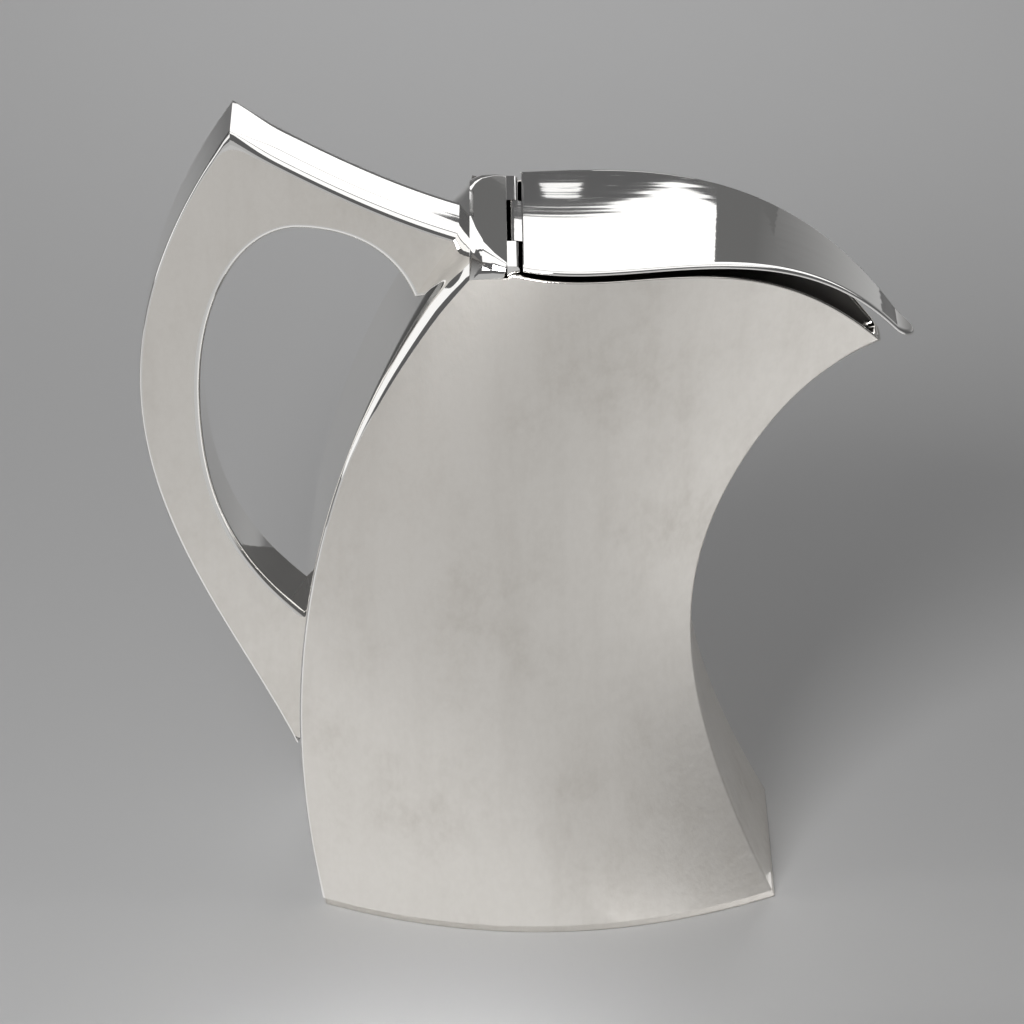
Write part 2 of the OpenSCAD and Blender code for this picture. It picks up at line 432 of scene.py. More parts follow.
@dataclass(frozen=True)
class SatinSilver:
    """Silver with a fine matt polish, clouded by light tarnish."""

    name: str = "satin_polish"
    slot: str = "satin_silver"
    colour: Colour = (0.83, 0.80, 0.755, 1.0)
    tarnish: Colour = (0.66, 0.625, 0.575, 1.0)
    roughness: float = 0.35
    edge_roughness: float = 0.08
    cloud_scale: Triple = (26.0, 26.0, 19.0)
    patch_scale: Triple = (85.0, 85.0, 70.0)
    grain_scale: Triple = (520.0, 520.0, 330.0)
    wipe_scale: Triple = (120.0, 40.0, 11.0)
    line_band: tuple[float, float] = (0.497, 0.5)
    stain_dull: float = 0.62
    wipe_dull: float = 0.16
    grain_dull: tuple[float, float] = (0.10, 0.14)
    bump_depth: float = 0.0003

    def surface(self, n: Nodes) -> dict[str, Any]:
        """Inputs of the surface."""
        at = n.add("ShaderNodeTexCoord", output="Object")
        edge, inside = n.attribute("polish"), n.attribute("inside")
        clouds = n.ranged(n.noise(at, self.cloud_scale, 5.0, 0.6), 0.40, 0.70)
        patches = n.ranged(n.noise(at, self.patch_scale, 5.0, 0.65), 0.42, 0.72)
        grain = n.ranged(n.noise(at, self.grain_scale, 2.0, 0.6), 0.3, 0.7)
        wipes = n.ranged(n.noise(at, self.wipe_scale, 4.0, 0.6), 0.45, 0.75)
        lines = n.ranged(n.noise(at, self.cloud_scale, 1.0, 0.4), *self.line_band)
        lines = lines * (1 - lines) * 4.0
        stain = clouds * (0.35 + 0.65 * patches)
        fine, stained = self.grain_dull
        dull = stain * self.stain_dull + wipes * self.wipe_dull + grain * (fine + stained * stain)
        tone = n.mixed(dull * (1 - edge), self.colour, self.tarnish)
        tone = n.mixed(inside, tone, DARK_INSIDE)
        matt = (self.roughness + stain * 0.05 + grain * 0.03 - lines * 0.05) * (1 - edge)
        rough = matt + edge * self.edge_roughness
        bump = n.add("ShaderNodeBump", None, {"Strength": 0.05, "Distance": self.bump_depth,
                                              "Height": grain + patches})
        return {"Base Color": tone, "Metallic": 1.0, "Roughness": rough, "Normal": bump}


@dataclass(frozen=True)
class PolishedSilver:
    """Silver with a mirror polish and the fine scratches of use."""

    name: str = "mirror_polish"
    slot: str = "polished_silver"
    colour: Colour = (0.94, 0.93, 0.91, 1.0)
    roughness: float = 0.035
    scratch_roughness: float = 0.06
    inside_roughness: float = 0.25
    wave_scale: Triple = (10.0, 150.0, 40.0)
    scratch_scale: Triple = (60.0, 2600.0, 600.0)
    bump_depth: float = 0.0006

    def surface(self, n: Nodes) -> dict[str, Any]:
        """Inputs of the surface."""
        at = n.add("ShaderNodeTexCoord", output="Object")
        inside = n.attribute("inside")
        tone = n.mixed(inside, self.colour, DARK_INSIDE)
        waves = n.noise(at, self.wave_scale, 2.0, 0.5)
        scratches = n.ranged(n.noise(at, self.scratch_scale, 2.0, 0.5), 0.66, 0.78)
        rough = self.roughness + scratches * self.scratch_roughness
        rough = rough + inside * self.inside_roughness
        bump = n.add("ShaderNodeBump", None, {"Strength": 0.05, "Distance": self.bump_depth,
                                              "Height": waves + scratches * 0.02})
        return {"Base Color": tone, "Metallic": 1.0, "Roughness": rough, "Normal": bump}


class Coat(enum.Enum):
    """Finish of a piece."""

    SATIN = SatinSilver()
    POLISHED = PolishedSilver()


class Finishes:
    """The silver finishes, made once and shared by every piece."""

    def __init__(self) -> None:
        """Make every material."""
        self.materials = {c: new_material(c.value.name, c.value.surface) for c in Coat}

    def dress(self, piece: bpy.types.Object, coat: Coat, body: Body,
              node: str) -> bpy.types.Object:
        """Give a piece its finish and its body, and hide the CAD node that it stands for.

        Args:
            piece: Finished piece.
            coat: Its finish.
            body: Body that carries the piece.
            node: CAD node that the piece replaces.

        Returns:
            The same piece.
        """
        piece.data.materials.clear()
        piece.data.materials.append(self.materials[coat])
        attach(piece, body.value)
        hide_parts(node)
        LOG.info("%s: %d faces, %s, rides on %s", piece.name, len(piece.data.polygons),
                 coat.value.name, body.value)
        return piece


# ---- body ----


@dataclass
class PitcherBody:
    """Side panels, rear and front panels, base plate and rear deck."""

    finishes: Finishes
    wall: float = 1.4
    length: float = 134.0
    height: float = 200.0
    rear_edge: tuple = ((-67, 34, 0), (-79, 32, 57), (-78, 29.5, 134.5), (-25.5, 26.5, 209.5))
    front_edge: tuple = ((67, 31, 0), (15.5, 14, 103.5), (52, 15, 113.5), (54.5, 8, 157),
                         (95, 4.7, 170.5))
    floor_edge: tuple = ((-67, 34, 0), (0, 68.5, 0), (67, 31, 0))
    rim_edge: tuple = ((-25.5, 26.5, 209.5), (12.5, 45, 193), (48, 32.5, 225.5), (95, 4.7, 170.5))
    deck_top: tuple = ((-23.2, 212.9), (-19.6, 210.9), (-16.1, 209.2), (-12.6, 207.7))
    crease_v: float = 1.015
    corner_v: float = 0.977
    rear_fillet: tuple = (
        (0, 0.5, 0.72, 0.82, 0.93, 0.97, 1), (0.9, 1.0, 1.2, 3.0, 6.5, 12.0, 20.0))
    rear_reach: tuple = ((0, 0.5, 0.72, 0.82, 0.93, 1), (0.8, 0.9, 1.3, 3.2, 5.4, 7.6))
    deck_fillet: tuple = ((0, 0.15, 0.35, 0.65, 1), (20.0, 13.5, 8.5, 4.5, 2.2))
    deck_drop: tuple = ((0, 0.3, 0.7, 1), (2.1, 1.6, 1.1, 0.75))
    front_fillet: tuple = ((0, 0.9, 1), (0.7, 0.7, 2.2))
    foot_radius: float = 0.5
    rim_radius: float = 0.55
    columns: int = 100
    rows: int = 110
    arc_steps: int = 12
    slant_share: float = 0.1
    deck_under: float = 1.6
    deck_lead: float = 0.8
    deck_edge_radius: float = 0.25
    crease_share: float = 0.3
    drop_fade_u: float = 0.02
    rim_fade_u: float = 0.015
    sharp_radius: float = 0.02
    spout_polish: tuple[float, float] = (0.985, 0.01)
    flat_guard: tuple = (0.25, 0.9, 2.5)
    flat_start: float = 4.5
    narrow_half: float = 8.0

    # -- rules of the skin --

    def skin(self, u: Any, v: Any) -> Array:
        """Outer face of a side panel.

        Args:
            u: Place from rear, 0, to front, 1.
            v: Place from floor, 0, to rim, 1.

        Returns:
            Points as x, half-width and z.
        """
        u, v = np.broadcast_arrays(np.asarray(u, float), np.asarray(v, float))
        s, t = u[..., None], v[..., None]
        floor, rim = bezier(self.floor_edge, u), bezier(self.rim_edge, u)
        rear, front = bezier(self.rear_edge, v), bezier(self.front_edge, v)
        low = np.array(self.floor_edge[0]) * (1 - s) + np.array(self.floor_edge[2]) * s
        high = np.array(self.rim_edge[0]) * (1 - s) + np.array(self.rim_edge[3]) * s
        return floor * (1 - t) + rim * t + rear * (1 - s) + front * s - low * (1 - t) - high * t

    def on_side(self, u: Any, v: Any, side: int, depth: float = 0.0) -> Array:
        """Point of a side panel, a depth inside its outer face."""
        p = self.skin(u, v)
        return np.stack([p[..., 0], side * (p[..., 1] - depth), p[..., 2]], axis=-1)

    def u_at(self, reach: Any, v: Any, edge_u: float) -> Array:
        """Place along u that lies a distance from the rear or front edge."""
        step = U_STEP if edge_u == 0 else -U_STEP
        span = np.linalg.norm(self.skin(edge_u + step, v) - self.skin(edge_u, v), axis=-1)
        return edge_u + step * np.asarray(reach) / span

    def rear_size(self, v: Any) -> Array:
        """Size of the rear panel's rounded edge."""
        return np.interp(v, *self.rear_fillet)

    def corner_u(self) -> float:
        """Place along u of the corner where the rear and deck roundings meet."""
        return float(self.rear_bound(self.corner_v))

    def rear_bound(self, v: Any) -> Array:
        """Place along u where a side panel begins."""
        return self.u_at(np.interp(v, *self.rear_reach), np.asarray(v, float), 0.0)

    def front_bound(self, v: Any) -> Array:
        """Place along u where a side panel ends."""
        return self.u_at(np.interp(v, *self.front_fillet), np.asarray(v, float), 1.0)

    def deck_u(self, s: Any) -> Array:
        """Place along u below a place s of the deck, 0 at the crease and 1 at the hinge."""
        x = bezier(self.rim_edge, DECK_U)[:, 0]
        hinge_u = float(np.interp(self.deck_top[-1][0], x, DECK_U))
        return self.corner_u() + (hinge_u - self.corner_u()) * np.asarray(s, float)

    def rim_v(self, u: Any) -> Array:
        """Place along v of a side panel's upper bound."""
        u = np.asarray(u, float)
        start, end = float(self.deck_u(0.0)), float(self.deck_u(1.0))
        s = np.clip((u - start) / (end - start), 0, 1)
        drop = np.interp(s, *self.deck_drop)
        fading = self.deck_drop[1][-1] * (1 - smooth_step((u - end) / self.drop_fade_u))
        drop = np.where(u > end, fading, drop)
        low = 1 - self.corner_v
        return 1 - low * drop / self.deck_drop[1][0]

    # -- pieces --

    def side_panel(self, side: Side) -> bpy.types.Object:
        """Bowed side panel with a polished line along its free rim."""
        a = spaced(0, 1, self.columns, 0.35)
        b = spaced(0, 1, self.rows, 0.3)
        top = self.rim_v(self.corner_u() + a * (1 - self.corner_u()))
        v = b[:, None] * top[None, :]
        u = self.rear_bound(v) + a[None, :] * (self.front_bound(v) - self.rear_bound(v))
        outer = Grid(self.on_side(u, v, side))
        edge = self.wall / self.length
        inner = Grid(self.on_side(np.clip(u, edge, 1 - edge), v, side, self.wall))
        free = smooth_step((u[-1] - float(self.deck_u(1.0))) / self.rim_fade_u)
        radius = self.sharp_radius + (self.rim_radius - self.sharp_radius) * free
        outer, inner = round_border(outer, inner, Border.LAST_ROW, radius, 6, 1.0)
        outer, inner = round_border(outer, inner, Border.FIRST_ROW, self.foot_radius, 5)
        word = side.name.lower()
        piece = shell(f"{word}_side_panel", outer, inner)
        return self.finishes.dress(piece, Coat.SATIN, Body.PITCHER, f"side_panel_{word}")

    def span_grid(self, start: Array, corner: Array, size: Array) -> Array:
        """Grid across the body with a rounded edge at each side.

        Args:
            start: Points on the right side panel where the rounding begins.
            corner: Sharp edge points of the right side.
            size: How far the rounding reaches across the panel, in each row.

        Returns:
            Rows of points from the right side to the left side.
        """
        inner = moved(corner, y=size)
        arc = fillet(start, corner, inner, self.arc_steps)
        reach = -inner[:, 1]
        flat = []
        for r in reach:
            share = min(1.0, r / self.narrow_half)
            near = -r + np.array(self.flat_guard) * share
            mid = np.linspace(-r + self.flat_start * share, 0, 9)
            half = np.concatenate([near, mid])
            flat.append(np.concatenate([half, -half[-2::-1]]))
        flat_y = np.array(flat)
        middle = np.repeat(inner[:, None, :], flat_y.shape[1], axis=1)
        middle[..., 1] = flat_y
        far = arc[:, ::-1] * MIRROR_Y
        return np.concatenate([arc, middle, far], axis=1)

    def behind(self, face: Array, u: float, v: Array) -> Array:
        """Inner face of a spanning panel: it follows the outer face, between the side walls."""
        wall = self.skin(u, v)
        widest = np.abs(face[..., 1]).max(axis=1, keepdims=True)
        made = np.empty_like(face)
        centre = face.shape[1] // 2
        made[..., 0] = face[..., 0] + (wall[:, 0] - face[:, centre, 0])[:, None]
        made[..., 1] = face[..., 1] / widest * (wall[:, None, 1] - self.wall)
        made[..., 2] = face[..., 2] + (wall[:, 2] - face[:, centre, 2])[:, None]
        return made

    def rear_panel(self) -> bpy.types.Object:
        """Curved rear panel, straight across, with rounded edges that widen upwards."""
        b = spaced(0, 1, self.rows + 10, 0.2)
        v_edge = b * self.crease_v
        near_top = smooth_step((b - 1 + self.slant_share) / self.slant_share)
        slant = (self.crease_v - self.corner_v) * near_top
        v_side = v_edge - slant
        start = self.on_side(self.rear_bound(v_side), v_side, Side.RIGHT)
        corner = self.on_side(0.0, v_edge, Side.RIGHT)
        outer = self.span_grid(start, corner, self.rear_size(v_edge))
        inner = self.behind(outer, self.wall / self.length, v_edge)
        grids = round_border(Grid(outer), Grid(inner), Border.FIRST_ROW, self.foot_radius, 5)
        piece = shell("curved_rear_panel", *grids)
        return self.finishes.dress(piece, Coat.POLISHED, Body.PITCHER, "rear_panel")

    def front_panel(self) -> bpy.types.Object:
        """Concave front panel that narrows into the spout."""
        v = spaced(0, 1, self.rows, 0.2)
        start = self.on_side(self.front_bound(v), v, Side.RIGHT)
        corner = self.on_side(1.0, v, Side.RIGHT)
        outer = self.span_grid(start, corner, np.interp(v, *self.front_fillet))
        inner = self.behind(outer, 1 - self.wall / self.length, v)
        from_v, fade = self.spout_polish
        tone = np.repeat(smooth_step((v - from_v) / fade)[:, None], outer.shape[1], axis=1)
        grids = round_border(Grid(outer, tone), Grid(inner, tone), Border.LAST_ROW,
                             self.rim_radius, 6, 1.0)
        grids = round_border(*grids, Border.FIRST_ROW, self.foot_radius, 5)
        piece = shell("concave_front_panel", *grids)
        return self.finishes.dress(piece, Coat.SATIN, Body.PITCHER, "front_panel")

    def base_plate(self) -> bpy.types.Object:
        """Flat plate inside the foot of the walls."""
        edge = self.wall / self.length
        u = spaced(edge, 1 - edge, 50)
        across = np.linspace(-1, 1, 21)
        faces = []
        for v in (0.0, self.wall / self.height):
            wall = self.skin(u, v)
            points = np.empty((len(u), len(across), 3))
            points[..., 0], points[..., 2] = wall[:, None, 0], wall[:, None, 2]
            points[..., 1] = across[None, :] * (wall[:, None, 1] - self.wall)
            faces.append(Grid(points))
        piece = shell("foot_plate", faces[0], faces[1])
        return self.finishes.dress(piece, Coat.SATIN, Body.PITCHER, "base_plate")

    def rear_deck(self) -> bpy.types.Object:
        """Fixed deck in front of the rear crease, with rounded side edges."""
        s = spaced(0, 1, 70, 0.3)
        top = bezier(self.deck_top, s)
        u = self.deck_u(s)
        start = self.on_side(u, self.rim_v(u), Side.RIGHT)
        rim = bezier(self.rim_edge, DECK_U)
        half = np.interp(top[:, 0], rim[:, 0], rim[:, 1])
        crease = self.skin(0.0, self.crease_v)
        half += (crease[1] - half[0]) * (1 - smooth_step(s / self.crease_share))
        corner = np.stack([top[:, 0], -half, top[:, 1]], axis=1)
        corner[0] = crease * MIRROR_Y
        outer = self.span_grid(start, corner, np.interp(s, *self.deck_fillet))
        inner = np.array(outer)
        widest = np.abs(outer[..., 1]).max(axis=1, keepdims=True)
        inner[..., 1] *= (widest - self.wall) / widest
        under = np.interp(top[:, 0], rim[:, 0], rim[:, 2])
        inner[..., 0] = top[:, None, 0] + self.deck_lead * (1 - s[:, None])
        inner[..., 2] = np.minimum(under, top[:, 1] - self.deck_under)[:, None]
        grids = round_border(Grid(outer), Grid(inner), Border.LAST_ROW, self.deck_edge_radius, 4)
        piece = shell("hinge_deck", *grids)
        return self.finishes.dress(piece, Coat.POLISHED, Body.PITCHER, "rear_deck")

    def build(self) -> list[bpy.types.Object]:
        """Build every piece of the body."""
        return [self.side_panel(Side.RIGHT), self.side_panel(Side.LEFT), self.rear_panel(),
                self.front_panel(), self.base_plate(), self.rear_deck()]


# ---- handle ----


@dataclass
class Handle:
    """Hollow box-section handle: two satin cheeks and three polished straps."""

    finishes: Finishes
    body: PitcherBody
    half_width: float = 12.2
    sheet: float = 1.3
    outer_edge: tuple = ((-75.5, 43), (-98.5, 96.5), (-149.5, 152.5), (-90, 240))
    top_edge: tuple = ((-90, 240), (-69, 227.5), (-48.0, 215.9), (-25.9, 208.7))
    inner_edges: tuple = (((-39.3, 189), (-44.5, 202.5), (-56, 209.5), (-71, 210)),
                          ((-71, 210), (-87.5, 210.5), (-100, 188.5), (-100.5, 159)),
                          ((-100.5, 159), (-101, 121.5), (-90, 103), (-71.6, 86)))
    outer_fillet: float = 0.8
    top_fillet: float = 3.0
    inner_fillet: float = 1.7
    peak_soften: float = 0.3
    peak_size: float = 2.2
    peak_blend: float = 16.0
    corner_reach: float = 7.0
    top_reach: float = 2.0
    peak_share: float = 0.62
    root_depth: float = 0.7
    cheek_root: float = 0.5
    across_shares: tuple = (-0.97, -0.85, -0.5, 0.0, 0.5, 0.85, 0.97)
    arc_steps: int = 8
    steps: int = 90

    def chains(self) -> dict[str, Array]:
        """Side outlines as x and z: outer and top edges rising to the deck, inner edge rising."""
        t = spaced(0, 1, self.steps, 0.2)
        parts = [bezier(p, t) for p in self.inner_edges]
        inner = np.concatenate([parts[0], parts[1][1:], parts[2][1:]])[::-1]
        top = bezier(self.top_edge, spaced(0, 1, self.steps // 2, 0.2))
        return {"outer": bezier(self.outer_edge, t), "top": top, "inner": inner}

    def peak_inset(self) -> Array:
        """Point of the cheek where the outer and top roundings meet."""
        c = self.chains()
        first, second = right_normals(c["outer"])[-1], right_normals(c["top"])[0]
        sizes = np.array([self.outer_fillet, self.top_fillet]) + self.peak_soften
        return c["outer"][-1] + np.linalg.solve(np.stack([first, second]), sizes)

    def rooted(self, line: Array, first: bool, last: bool) -> Array:
        """Run the ends of a line a little into the rear panel."""
        made = np.array(line)
        t = tangents(line)
        if first:
            made[0] -= t[0] * self.root_depth
        if last:
            made[-1] += t[-1] * self.root_depth
        return made

    def insets(self) -> dict[str, Array]:
        """The outlines of the cheeks' flat face."""
        c = self.chains()
        made = {"outer": c["outer"] + right_normals(c["outer"]) * self.outer_fillet,
                "top": c["top"] + right_normals(c["top"]) * self.top_fillet,
                "inner": c["inner"] - right_normals(c["inner"]) * self.inner_fillet}
        peak = self.peak_inset()
        made["outer"] = self.kept_short(made["outer"], peak)
        made["top"] = self.kept_short(made["top"][::-1], peak)[::-1]
        made["outer"], made["top"] = self.softened(made["outer"], made["top"])
        return made

    def softened(self, rise: Array, fall: Array) -> tuple[Array, Array]:
        """Round the corner of the cheek's flat face where two of its edges meet."""
        corner = rise[-1]
        away, off = (np.linalg.norm(line - corner, axis=1) for line in (rise, fall))
        near, beyond = away < self.corner_reach, off < self.corner_reach
        ends = (rise[near][0], corner, fall[beyond][-1])
        rise, fall = np.array(rise), np.array(fall)
        rise[near] = bezier(ends, 0.5 - 0.5 * away[near] / away[near][0])
        fall[beyond] = bezier(ends, 0.5 + 0.5 * off[beyond] / off[beyond][-1])
        return rise, fall

    @staticmethod
    def kept_short(line: Array, end: Array, blend: int = 12) -> Array:
        """Ease the last points of a line onto its new end."""
        made = np.array(line)
        ease = smooth_step(np.linspace(0, 1, blend + 1))[1:, None]
        made[-blend:] += ease * (end - made[-1])
        return made

    def strap(self, name: str, line: Array, inset: Array, turn: int,
              spread: float = 1.0) -> bpy.types.Object:
        """Polished strap from cheek to cheek.

        Args:
            name: Which strap.
            line: Outline of the strap's face, as x and z.
            inset: Where its rounding ends on the cheeks.
            turn: 1 where the metal lies to the right of the outline, and -1 to the left.
            spread: How much further the rounding reaches across the strap than down the cheek.

        Returns:
            The dressed piece.
        """
        y = self.half_width
        size = np.linalg.norm(inset - line, axis=1)
        size = np.minimum(size, np.median(size)) * spread
        to_peak = np.linalg.norm(line - np.array(self.top_edge[0]), axis=1)
        size += (self.peak_size - size) * (1 - smooth_step(to_peak / self.peak_blend))

        def to_3d(p: Array, depth: Any) -> Array:
            """Points of a side outline at a place across the handle."""
            return np.stack([p[:, 0], np.broadcast_to(depth, len(p)), p[:, 1]], axis=1)

        arc = fillet(to_3d(inset, -y), to_3d(line, -y), to_3d(line, size - y), self.arc_steps)
        middle = np.stack([to_3d(line, (y - size) * k) for k in self.across_shares], axis=1)
        outer = np.concatenate([arc, middle, arc[:, ::-1] * MIRROR_Y], axis=1)
        within = line + turn * right_normals(line) * self.sheet
        inner = np.array(outer)
        inner[..., 0], inner[..., 2] = within[:, None, 0], within[:, None, 1]
        inner[..., 1] *= (y - 2 * self.sheet) / y
        piece = shell(f"{name}_strap", Grid(outer), Grid(inner))
        return self.finishes.dress(piece, Coat.POLISHED, Body.PITCHER, f"handle_{name}_strap")

    def cheek(self, side: Side) -> bpy.types.Object:
        """Flat C-shaped cheek."""
        c = self.insets()
        outer = np.concatenate([c["outer"], c["top"][1:]])
        bend = len(c["outer"]) - 1
        inner_full = c["inner"]
        split = int(self.peak_share * (len(inner_full) - 1))
        index = np.concatenate([np.linspace(0, split, bend + 1),
                                np.linspace(split, len(inner_full) - 1, len(outer) - bend)[1:]])
        inner = np.stack([np.interp(index, np.arange(len(inner_full)), inner_full[:, k])
                          for k in (0, 1)], axis=1)
        share = spaced(0, 1, 8, 0.3)[None, :, None]
        flat = outer[:, None, :] * (1 - share) + inner[:, None, :] * share
        rear = bezier(self.body.rear_edge, np.linspace(0, 1, 400))
        for row in (0, -1):
            root_x = np.interp(flat[row, :, 1], rear[:, 2], rear[:, 0])
            flat[row, :, 0] = root_x + self.cheek_root
        points = np.stack([flat[..., 0], np.full(flat.shape[:2], side * self.half_width),
                           flat[..., 1]], axis=-1)
        word = side.name.lower()
        piece = shell(f"{word}_cheek", Grid(points), Grid(moved(points, y=-side * self.sheet)))
        return self.finishes.dress(piece, Coat.SATIN, Body.PITCHER, f"handle_cheek_{word}")

    def build(self) -> list[bpy.types.Object]:
        """Build every piece of the handle."""
        c, i = self.chains(), self.insets()
        return [self.cheek(Side.RIGHT), self.cheek(Side.LEFT),
                self.strap("outer", self.rooted(c["outer"], True, False),
                           self.rooted(i["outer"], True, False), 1),
                self.strap("top", self.rooted(c["top"], False, True),
                           self.rooted(i["top"], False, True), 1, self.top_reach),
                self.strap("inner", self.rooted(c["inner"], True, True),
                           self.rooted(i["inner"], True, True), -1)]


# ---- lid ----


@dataclass
class Lid:
    """Curved lid: a sheet that is straight across, inside a rounded edge wire."""

    finishes: Finishes
    edge_height: float = 1.5
    sheet: float = 1.0
    under_bow: tuple = ((-8.2, 206.4), (23, 203.5), (65, 216.5), (97.5, 176))
    under_tip: tuple = ((97.5, 176), (99.5, 173.6), (102, 172.2), (104.5, 171.5))
    plan_side: tuple = ((-8.2, 33), (9, 37), (34.5, 38.5), (99.5, 6.5))
    plan_nose: tuple = ((99.5, 6.5), (102.6, 5), (104.5, 2.6), (104.5, 0))
    edge_reach: tuple = ((-8.2, 60, 104.5), (2.0, 1.6, 1.0))
    wire_width: float = 1.6
    crown_foot: float = 0.45
    foot_radius: float = 0.4
    rear_radius: float = 0.3
    nose_run: float = 4.0
    arc_steps: int = 8

    def top_line(self) -> Array:
        """Side outline of the top face, as x and z."""
        bow = bezier(self.under_bow, np.linspace(0, 1, 160))
        tip = bezier(self.under_tip, np.linspace(0, 1, 24))[1:]
        under = np.concatenate([bow, tip])
        return under - right_normals(under) * self.edge_height

    def height(self, x: Array) -> Array:
        """Height of the top face."""
        line = self.top_line()
        slope = (line[-1, 1] - line[-2, 1]) / (line[-1, 0] - line[-2, 0])
        end = line[-1] + self.nose_run * np.array([1.0, slope])
        line = np.concatenate([line, end[None]])
        return np.interp(x, line[:, 0], line[:, 1])

    def outline(self) -> Array:
        """Half of the plan outline as x and half-width, from the hinge to the nose."""
        side = bezier(self.plan_side, spaced(0, 1, 110, 0.2))
        nose = bezier(self.plan_nose, np.linspace(0, 1, 22))[1:]
        return np.concatenate([side, nose])

    def inset(self, reach: Any) -> Array:
        """The outline moved in from the edge."""
        edge = self.outline()
        normal = -right_normals(edge)
        normal[0], normal[-1] = (0.0, 1.0), (1.0, 0.0)
        made = edge - normal * np.broadcast_to(reach, len(edge))[:, None]
        made[:, 1] = np.maximum(made[:, 1], 0.0)
        made[-1, 1] = 0.0
        return made

    def reach(self) -> Array:
        """How far the rounded edge reaches in from the outline."""
        return np.interp(self.outline()[:, 0], *self.edge_reach)

    def lid_plate(self) -> bpy.types.Object:
        """Bent sheet inside the edge wire."""
        edge = self.inset(self.reach())
        share = spaced(-1, 1, 36, 0.4)
        x = np.repeat(edge[:, :1], len(share), axis=1)
        outer = np.stack([x, edge[:, 1:] * share[None, :], self.height(x)], axis=-1)
        inner = moved(outer, z=-self.sheet)
        grids = round_border(Grid(outer), Grid(inner), Border.FIRST_ROW, self.rear_radius, 4)
        piece = shell("lid_sheet", *grids)
        return self.finishes.dress(piece, Coat.POLISHED, Body.LID, "lid_plate")

    def lid_edge_wire(self) -> bpy.types.Object:
        """Rounded wire round the free edge of the lid."""
        reach = self.reach()
        edge, top_in = self.outline(), self.inset(reach)
        wire_in = self.inset(np.maximum(self.wire_width, reach))

        def to_3d(p: Array, z: Array) -> Array:
            """Points of the plan's right half at a height."""
            return np.stack([p[:, 0], -p[:, 1], z], axis=1)

        top = self.height(edge[:, 0])
        low = top - self.edge_height
        crown = fillet(to_3d(top_in, self.height(top_in[:, 0])), to_3d(edge, top),
                       to_3d(edge, low + self.crown_foot), self.arc_steps)
        foot = fillet(to_3d(edge, low + self.foot_radius), to_3d(edge, low),
                      to_3d(self.inset(self.foot_radius), low), 4)
        inside = to_3d(wire_in, self.height(wire_in[:, 0]) - self.edge_height)[:, None]
        closing = to_3d(top_in, self.height(top_in[:, 0]) - self.sheet)[:, None]
        half = np.concatenate([crown, foot, inside, closing], axis=1)
        loops = np.concatenate([half, (half * MIRROR_Y)[-2::-1]])
        piece = tube("lid_rim_wire", loops)
        return self.finishes.dress(piece, Coat.POLISHED, Body.LID, "lid_edge_wire")

    def build(self) -> list[bpy.types.Object]:
        """Build every piece of the lid."""
        return [self.lid_plate(), self.lid_edge_wire()]


# ---- hinge ----


